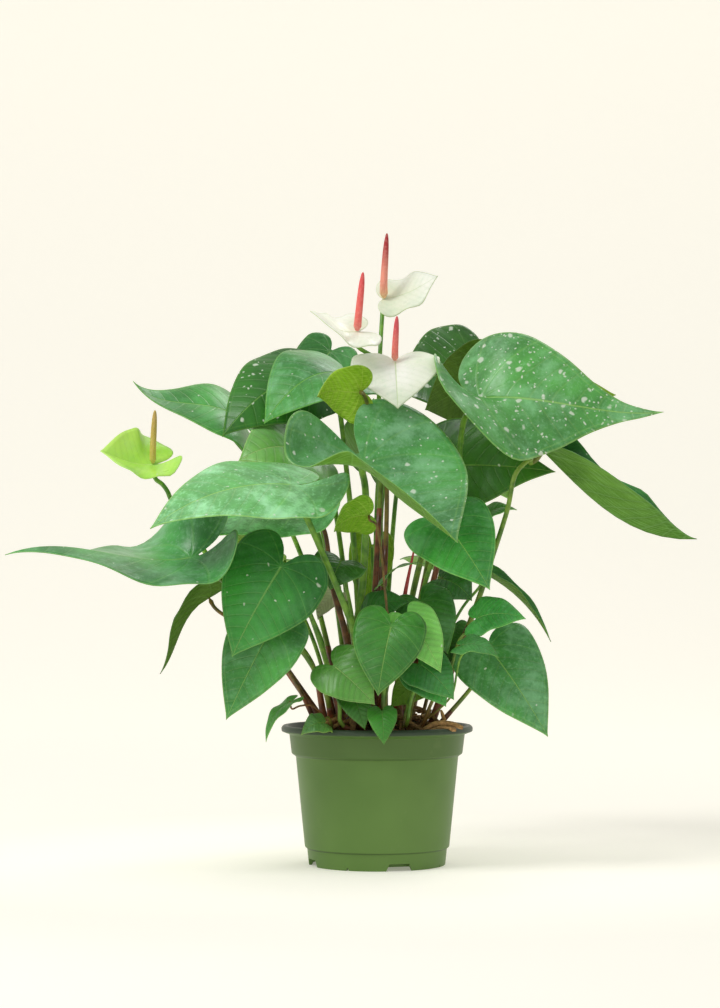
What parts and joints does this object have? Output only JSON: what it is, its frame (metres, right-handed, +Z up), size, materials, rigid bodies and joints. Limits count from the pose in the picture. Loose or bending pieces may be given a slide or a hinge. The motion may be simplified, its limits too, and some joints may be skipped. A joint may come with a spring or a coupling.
{
  "type": "potted anthurium",
  "caption": "Flowering house plant with glossy heart-shaped leaves on long stems, white spathes and pink spadices, in soil in a round plastic pot; stands on a shelf or table.",
  "frame": {"origin": "middle of the pot's underside, on the plane it stands on", "axes": "+Z up, the plant's front faces -Y, +X to its viewer's right"},
  "size_m": [0.5705, 0.3804, 0.5455],
  "materials": {
    "pot": "satin moulded plastic",
    "soil": "rough bark and peat mix",
    "leaf_green": "glossy living leaf",
    "leaf_dark": "glossy older leaf",
    "leaf_bright": "satin leaf underside",
    "leaf_light": "glossy younger leaf",
    "leaf_pale": "faded small leaf",
    "spathe_white": "waxy spathe",
    "spathe_young": "waxy young spathe",
    "bloom_stalk": "satin stalk",
    "spadix_pink": "bumpy spadix",
    "spadix_tan": "bumpy spadix",
    "new_leaf_red": "satin rolled leaf"
  },
  "bodies": {
    "root": {"pot": "pot", "soil": "soil", "left_reach": "leaf_green", "left_upper": "leaf_green", "left_under": "leaf_green", "left_front": "leaf_green", "left_low": "leaf_green", "left_hanging": "leaf_green", "left_fill": "leaf_bright", "far_left": "leaf_green", "top_left_spotted": "leaf_dark", "top_left_glossy": "leaf_dark", "left_pale_fold": "leaf_light", "back_lit": "leaf_bright", "back_top_left": "leaf_green", "centre_gap": "leaf_dark", "centre": "leaf_green", "right_big": "leaf_green", "right_back": "leaf_bright", "top_right_dark": "leaf_dark", "right_olive": "leaf_dark", "right_dark": "leaf_dark", "right_curl": "leaf_green", "right_small_light": "leaf_light", "centre_right": "leaf_green", "right_low": "leaf_green", "right_shoot": "leaf_green", "right_narrow": "leaf_green", "front_shoot": "leaf_green", "dark_shoot": "leaf_dark", "left_front_shoot": "leaf_light", "rim": "leaf_green", "left_rim_shoot": "leaf_bright", "right_low_shoot": "leaf_green", "dark_under": "leaf_dark", "behind_front": "leaf_dark", "left_centre": "leaf_dark", "centre_bright": "leaf_bright", "centre_low_bright": "leaf_bright", "narrow_dark": "leaf_green", "old_pale": "leaf_pale", "back_left_high": "leaf_green", "back_right_high": "leaf_green", "back_middle": "leaf_green", "back_left_low": "leaf_green", "back_right_low": "leaf_green", "bloom_tall_spathe": "spathe_white", "bloom_tall_stalk": "bloom_stalk", "bloom_tall_spadix": "spadix_pink", "bloom_left_spathe": "spathe_white", "bloom_left_stalk": "bloom_stalk", "bloom_left_spadix": "spadix_pink", "bloom_front_spathe": "spathe_white", "bloom_front_stalk": "bloom_stalk", "bloom_front_spadix": "spadix_pink", "bloom_young_spathe": "spathe_young", "bloom_young_stalk": "bloom_stalk", "bloom_young_spadix": "spadix_tan", "red_spear": "new_leaf_red"}
  },
  "joints": []
}
